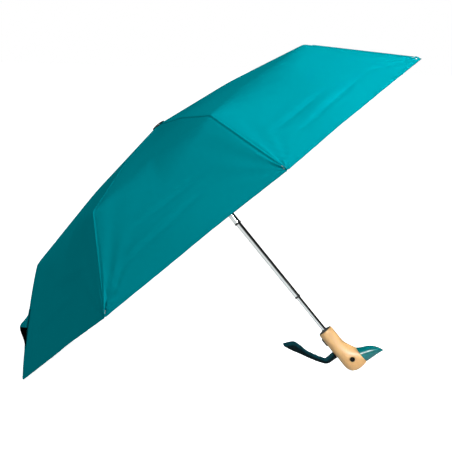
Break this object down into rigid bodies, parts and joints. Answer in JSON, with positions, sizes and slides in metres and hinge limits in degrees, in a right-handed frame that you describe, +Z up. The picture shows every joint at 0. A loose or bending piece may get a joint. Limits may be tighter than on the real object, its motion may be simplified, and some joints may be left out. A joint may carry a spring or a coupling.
{
  "type": "folding umbrella",
  "caption": "Folding rain umbrella, open and resting on two rib tips and its handle: gored cloth canopy, jointed steel ribs, telescopic shaft, wooden bird's-head handle, wrist strap.",
  "frame": {"origin": "middle of the floor under the umbrella's bounding box, as it lies open on two rib tips and the handle's chin", "axes": "+Z up from the floor; +Y across the shaft, from side to side; +X level, from the canopy towards the handle, so the shaft rises towards -X"},
  "size_m": [0.6834, 0.8848, 0.6],
  "materials": {
    "wood": "lacquered pale beech, glossy",
    "beak_lacquer": "glossy teal lacquer",
    "black_plastic": "satin black moulded plastic",
    "eye_gloss": "glossy black bead",
    "chrome": "bright polished plated steel",
    "dark_steel": "black enamelled steel",
    "spring_steel": "drawn spring wire",
    "canopy_cloth": "close woven teal pongee, faint sheen, dark inside",
    "webbing": "dark teal narrow webbing"
  },
  "bodies": {
    "handle": {"handle": "wood", "beak": "beak_lacquer", "eyes": "eye_gloss", "handle_bushing": "black_plastic", "lower_tube": "chrome", "button_spring": "spring_steel", "strap_bail": "chrome", "wrist_strap": "webbing"},
    "release_button": {"release_button": "black_plastic"},
    "middle_tube": {"middle_tube": "chrome", "middle_collar": "black_plastic", "opening_spring": "spring_steel"},
    "top_tube": {"top_tube": "chrome", "top_collar": "black_plastic", "crown": "black_plastic", "crown_pins": "spring_steel", "top_cap": "black_plastic", "canopy_gore_1": "canopy_cloth", "canopy_gore_2": "canopy_cloth", "canopy_gore_3": "canopy_cloth", "canopy_gore_4": "canopy_cloth", "canopy_gore_5": "canopy_cloth", "canopy_gore_6": "canopy_cloth", "canopy_gore_7": "canopy_cloth", "canopy_gore_8": "canopy_cloth"},
    "runner": {"runner": "black_plastic", "runner_pins": "spring_steel"},
    "inner_rib_1": {"inner_rib_1": "dark_steel"},
    "middle_rib_1": {"middle_rib_1": "dark_steel"},
    "outer_rib_1": {"outer_rib_1": "dark_steel"},
    "stretcher_1": {"stretcher_1": "dark_steel"},
    "inner_rib_2": {"inner_rib_2": "dark_steel"},
    "middle_rib_2": {"middle_rib_2": "dark_steel"},
    "outer_rib_2": {"outer_rib_2": "dark_steel"},
    "stretcher_2": {"stretcher_2": "dark_steel"},
    "inner_rib_3": {"inner_rib_3": "dark_steel"},
    "middle_rib_3": {"middle_rib_3": "dark_steel"},
    "outer_rib_3": {"outer_rib_3": "dark_steel"},
    "stretcher_3": {"stretcher_3": "dark_steel"},
    "inner_rib_4": {"inner_rib_4": "dark_steel"},
    "middle_rib_4": {"middle_rib_4": "dark_steel"},
    "outer_rib_4": {"outer_rib_4": "dark_steel"},
    "stretcher_4": {"stretcher_4": "dark_steel"},
    "inner_rib_5": {"inner_rib_5": "dark_steel"},
    "middle_rib_5": {"middle_rib_5": "dark_steel"},
    "outer_rib_5": {"outer_rib_5": "dark_steel", "closing_strap": "canopy_cloth"},
    "stretcher_5": {"stretcher_5": "dark_steel"},
    "inner_rib_6": {"inner_rib_6": "dark_steel"},
    "middle_rib_6": {"middle_rib_6": "dark_steel"},
    "outer_rib_6": {"outer_rib_6": "dark_steel"},
    "stretcher_6": {"stretcher_6": "dark_steel"},
    "inner_rib_7": {"inner_rib_7": "dark_steel"},
    "middle_rib_7": {"middle_rib_7": "dark_steel"},
    "outer_rib_7": {"outer_rib_7": "dark_steel"},
    "stretcher_7": {"stretcher_7": "dark_steel"},
    "inner_rib_8": {"inner_rib_8": "dark_steel"},
    "middle_rib_8": {"middle_rib_8": "dark_steel"},
    "outer_rib_8": {"outer_rib_8": "dark_steel"},
    "stretcher_8": {"stretcher_8": "dark_steel"}
  },
  "joints": [
    {"name": "button_press", "type": "slide", "parent": "handle", "child": "release_button", "axis": [0.7545, 0, 0.6563], "range_m": [0, 0.0015], "stiffness_N_per_m": 400, "springref_m": -0.003, "deforming": ["button_spring"]},
    {"name": "middle_tube_slide", "type": "slide", "parent": "handle", "child": "middle_tube", "axis": [0.6563, 0, -0.7545], "range_m": [0, 0.0748], "deforming": ["opening_spring"]},
    {"name": "top_tube_slide", "type": "slide", "parent": "middle_tube", "child": "top_tube", "axis": [0.6563, 0, -0.7545], "range_m": [0, 0.171]},
    {"name": "runner_slide", "type": "slide", "parent": "top_tube", "child": "runner", "axis": [0.6563, 0, -0.7545], "range_m": [0, 0.16115], "deforming": ["canopy_gore_1", "canopy_gore_2", "canopy_gore_3", "canopy_gore_4", "canopy_gore_5", "canopy_gore_6", "canopy_gore_7", "canopy_gore_8"]},
    {"name": "inner_rib_hinge_1", "type": "hinge", "parent": "top_tube", "child": "inner_rib_1", "pos_m": [-0.11539, 0.00325, 0.44414], "axis": [-0.2888, 0.9239, -0.2511], "range_deg": [0, 81.8]},
    {"name": "middle_rib_hinge_1", "type": "hinge", "parent": "inner_rib_1", "child": "middle_rib_1", "pos_m": [0.01218, 0.06546, 0.52633], "axis": [0.2888, -0.9239, 0.2511], "range_deg": [0, 183.2]},
    {"name": "outer_rib_hinge_1", "type": "hinge", "parent": "middle_rib_1", "child": "outer_rib_1", "pos_m": [0.14724, 0.12673, 0.59642], "axis": [-0.2888, 0.9239, -0.2511], "range_deg": [0, 147.3]},
    {"name": "stretcher_hinge_1", "type": "hinge", "parent": "runner", "child": "stretcher_1", "pos_m": [-0.08464, 0.00325, 0.40879], "axis": [0.2888, -0.9239, 0.2511], "range_deg": [0, 72.26]},
    {"name": "inner_rib_hinge_2", "type": "hinge", "parent": "top_tube", "child": "inner_rib_2", "pos_m": [-0.11886, 0.00785, 0.44112], "axis": [-0.6971, 0.3827, -0.6063], "range_deg": [0, 81.8]},
    {"name": "middle_rib_hinge_2", "type": "hinge", "parent": "inner_rib_2", "child": "middle_rib_2", "pos_m": [-0.05768, 0.15804, 0.46557], "axis": [0.6971, -0.3827, 0.6063], "range_deg": [0, 183.2]},
    {"name": "outer_rib_hinge_2", "type": "hinge", "parent": "middle_rib_2", "child": "outer_rib_2", "pos_m": [0.01201, 0.30595, 0.4788], "axis": [-0.6971, 0.3827, -0.6063], "range_deg": [0, 147.3]},
    {"name": "stretcher_hinge_2", "type": "hinge", "parent": "runner", "child": "stretcher_2", "pos_m": [-0.08812, 0.00785, 0.40577], "axis": [0.6971, -0.3827, 0.6063], "range_deg": [0, 72.26]},
    {"name": "inner_rib_hinge_3", "type": "hinge", "parent": "top_tube", "child": "inner_rib_3", "pos_m": [-0.12377, 0.00785, 0.43685], "axis": [-0.6971, -0.3827, -0.6063], "range_deg": [0, 81.8]},
    {"name": "middle_rib_hinge_3", "type": "hinge", "parent": "inner_rib_3", "child": "middle_rib_3", "pos_m": [-0.15647, 0.15804, 0.37965], "axis": [0.6971, 0.3827, 0.6063], "range_deg": [0, 183.2]},
    {"name": "outer_rib_hinge_3", "type": "hinge", "parent": "middle_rib_3", "child": "outer_rib_3", "pos_m": [-0.17923, 0.30595, 0.31247], "axis": [-0.6971, -0.3827, -0.6063], "range_deg": [0, 147.3]},
    {"name": "stretcher_hinge_3", "type": "hinge", "parent": "runner", "child": "stretcher_3", "pos_m": [-0.09302, 0.00785, 0.4015], "axis": [0.6971, 0.3827, 0.6063], "range_deg": [0, 72.26]},
    {"name": "inner_rib_hinge_4", "type": "hinge", "parent": "top_tube", "child": "inner_rib_4", "pos_m": [-0.12724, 0.00325, 0.43384], "axis": [-0.2888, -0.9239, -0.2511], "range_deg": [0, 81.8]},
    {"name": "middle_rib_hinge_4", "type": "hinge", "parent": "inner_rib_4", "child": "middle_rib_4", "pos_m": [-0.22632, 0.06546, 0.31889], "axis": [0.2888, 0.9239, 0.2511], "range_deg": [0, 183.2]},
    {"name": "outer_rib_hinge_4", "type": "hinge", "parent": "middle_rib_4", "child": "outer_rib_4", "pos_m": [-0.31446, 0.12673, 0.19486], "axis": [-0.2888, -0.9239, -0.2511], "range_deg": [0, 147.3]},
    {"name": "stretcher_hinge_4", "type": "hinge", "parent": "runner", "child": "stretcher_4", "pos_m": [-0.0965, 0.00325, 0.39848], "axis": [0.2888, 0.9239, 0.2511], "range_deg": [0, 72.26]},
    {"name": "inner_rib_hinge_5", "type": "hinge", "parent": "top_tube", "child": "inner_rib_5", "pos_m": [-0.12724, -0.00325, 0.43384], "axis": [0.2888, -0.9239, 0.2511], "range_deg": [0, 81.8]},
    {"name": "middle_rib_hinge_5", "type": "hinge", "parent": "inner_rib_5", "child": "middle_rib_5", "pos_m": [-0.22632, -0.06546, 0.31889], "axis": [-0.2888, 0.9239, -0.2511], "range_deg": [0, 183.2]},
    {"name": "outer_rib_hinge_5", "type": "hinge", "parent": "middle_rib_5", "child": "outer_rib_5", "pos_m": [-0.31446, -0.12673, 0.19486], "axis": [0.2888, -0.9239, 0.2511], "range_deg": [0, 147.3]},
    {"name": "stretcher_hinge_5", "type": "hinge", "parent": "runner", "child": "stretcher_5", "pos_m": [-0.0965, -0.00325, 0.39848], "axis": [-0.2888, 0.9239, -0.2511], "range_deg": [0, 72.26]},
    {"name": "inner_rib_hinge_6", "type": "hinge", "parent": "top_tube", "child": "inner_rib_6", "pos_m": [-0.12377, -0.00785, 0.43685], "axis": [0.6971, -0.3827, 0.6063], "range_deg": [0, 81.8]},
    {"name": "middle_rib_hinge_6", "type": "hinge", "parent": "inner_rib_6", "child": "middle_rib_6", "pos_m": [-0.15647, -0.15804, 0.37965], "axis": [-0.6971, 0.3827, -0.6063], "range_deg": [0, 183.2]},
    {"name": "outer_rib_hinge_6", "type": "hinge", "parent": "middle_rib_6", "child": "outer_rib_6", "pos_m": [-0.17923, -0.30595, 0.31247], "axis": [0.6971, -0.3827, 0.6063], "range_deg": [0, 147.3]},
    {"name": "stretcher_hinge_6", "type": "hinge", "parent": "runner", "child": "stretcher_6", "pos_m": [-0.09302, -0.00785, 0.4015], "axis": [-0.6971, 0.3827, -0.6063], "range_deg": [0, 72.26]},
    {"name": "inner_rib_hinge_7", "type": "hinge", "parent": "top_tube", "child": "inner_rib_7", "pos_m": [-0.11886, -0.00785, 0.44112], "axis": [0.6971, 0.3827, 0.6063], "range_deg": [0, 81.8]},
    {"name": "middle_rib_hinge_7", "type": "hinge", "parent": "inner_rib_7", "child": "middle_rib_7", "pos_m": [-0.05768, -0.15804, 0.46557], "axis": [-0.6971, -0.3827, -0.6063], "range_deg": [0, 183.2]},
    {"name": "outer_rib_hinge_7", "type": "hinge", "parent": "middle_rib_7", "child": "outer_rib_7", "pos_m": [0.01201, -0.30595, 0.4788], "axis": [0.6971, 0.3827, 0.6063], "range_deg": [0, 147.3]},
    {"name": "stretcher_hinge_7", "type": "hinge", "parent": "runner", "child": "stretcher_7", "pos_m": [-0.08812, -0.00785, 0.40577], "axis": [-0.6971, -0.3827, -0.6063], "range_deg": [0, 72.26]},
    {"name": "inner_rib_hinge_8", "type": "hinge", "parent": "top_tube", "child": "inner_rib_8", "pos_m": [-0.11539, -0.00325, 0.44414], "axis": [0.2888, 0.9239, 0.2511], "range_deg": [0, 81.8]},
    {"name": "middle_rib_hinge_8", "type": "hinge", "parent": "inner_rib_8", "child": "middle_rib_8", "pos_m": [0.01218, -0.06546, 0.52633], "axis": [-0.2888, -0.9239, -0.2511], "range_deg": [0, 183.2]},
    {"name": "outer_rib_hinge_8", "type": "hinge", "parent": "middle_rib_8", "child": "outer_rib_8", "pos_m": [0.14724, -0.12673, 0.59642], "axis": [0.2888, 0.9239, 0.2511], "range_deg": [0, 147.3]},
    {"name": "stretcher_hinge_8", "type": "hinge", "parent": "runner", "child": "stretcher_8", "pos_m": [-0.08464, -0.00325, 0.40879], "axis": [-0.2888, -0.9239, -0.2511], "range_deg": [0, 72.26]}
  ],
  "couplings": [
    {"joint": "inner_rib_hinge_1", "follows": "runner_slide", "rad_per_m": 8.8595},
    {"joint": "middle_rib_hinge_1", "follows": "runner_slide", "rad_per_m": 19.842},
    {"joint": "outer_rib_hinge_1", "follows": "runner_slide", "rad_per_m": 15.954},
    {"joint": "stretcher_hinge_1", "follows": "runner_slide", "rad_per_m": 7.8258},
    {"joint": "inner_rib_hinge_2", "follows": "runner_slide", "rad_per_m": 8.8595},
    {"joint": "middle_rib_hinge_2", "follows": "runner_slide", "rad_per_m": 19.842},
    {"joint": "outer_rib_hinge_2", "follows": "runner_slide", "rad_per_m": 15.954},
    {"joint": "stretcher_hinge_2", "follows": "runner_slide", "rad_per_m": 7.8258},
    {"joint": "inner_rib_hinge_3", "follows": "runner_slide", "rad_per_m": 8.8595},
    {"joint": "middle_rib_hinge_3", "follows": "runner_slide", "rad_per_m": 19.842},
    {"joint": "outer_rib_hinge_3", "follows": "runner_slide", "rad_per_m": 15.954},
    {"joint": "stretcher_hinge_3", "follows": "runner_slide", "rad_per_m": 7.8258},
    {"joint": "inner_rib_hinge_4", "follows": "runner_slide", "rad_per_m": 8.8595},
    {"joint": "middle_rib_hinge_4", "follows": "runner_slide", "rad_per_m": 19.842},
    {"joint": "outer_rib_hinge_4", "follows": "runner_slide", "rad_per_m": 15.954},
    {"joint": "stretcher_hinge_4", "follows": "runner_slide", "rad_per_m": 7.8258},
    {"joint": "inner_rib_hinge_5", "follows": "runner_slide", "rad_per_m": 8.8595},
    {"joint": "middle_rib_hinge_5", "follows": "runner_slide", "rad_per_m": 19.842},
    {"joint": "outer_rib_hinge_5", "follows": "runner_slide", "rad_per_m": 15.954},
    {"joint": "stretcher_hinge_5", "follows": "runner_slide", "rad_per_m": 7.8258},
    {"joint": "inner_rib_hinge_6", "follows": "runner_slide", "rad_per_m": 8.8595},
    {"joint": "middle_rib_hinge_6", "follows": "runner_slide", "rad_per_m": 19.842},
    {"joint": "outer_rib_hinge_6", "follows": "runner_slide", "rad_per_m": 15.954},
    {"joint": "stretcher_hinge_6", "follows": "runner_slide", "rad_per_m": 7.8258},
    {"joint": "inner_rib_hinge_7", "follows": "runner_slide", "rad_per_m": 8.8595},
    {"joint": "middle_rib_hinge_7", "follows": "runner_slide", "rad_per_m": 19.842},
    {"joint": "outer_rib_hinge_7", "follows": "runner_slide", "rad_per_m": 15.954},
    {"joint": "stretcher_hinge_7", "follows": "runner_slide", "rad_per_m": 7.8258},
    {"joint": "inner_rib_hinge_8", "follows": "runner_slide", "rad_per_m": 8.8595},
    {"joint": "middle_rib_hinge_8", "follows": "runner_slide", "rad_per_m": 19.842},
    {"joint": "outer_rib_hinge_8", "follows": "runner_slide", "rad_per_m": 15.954},
    {"joint": "stretcher_hinge_8", "follows": "runner_slide", "rad_per_m": 7.8258}
  ]
}
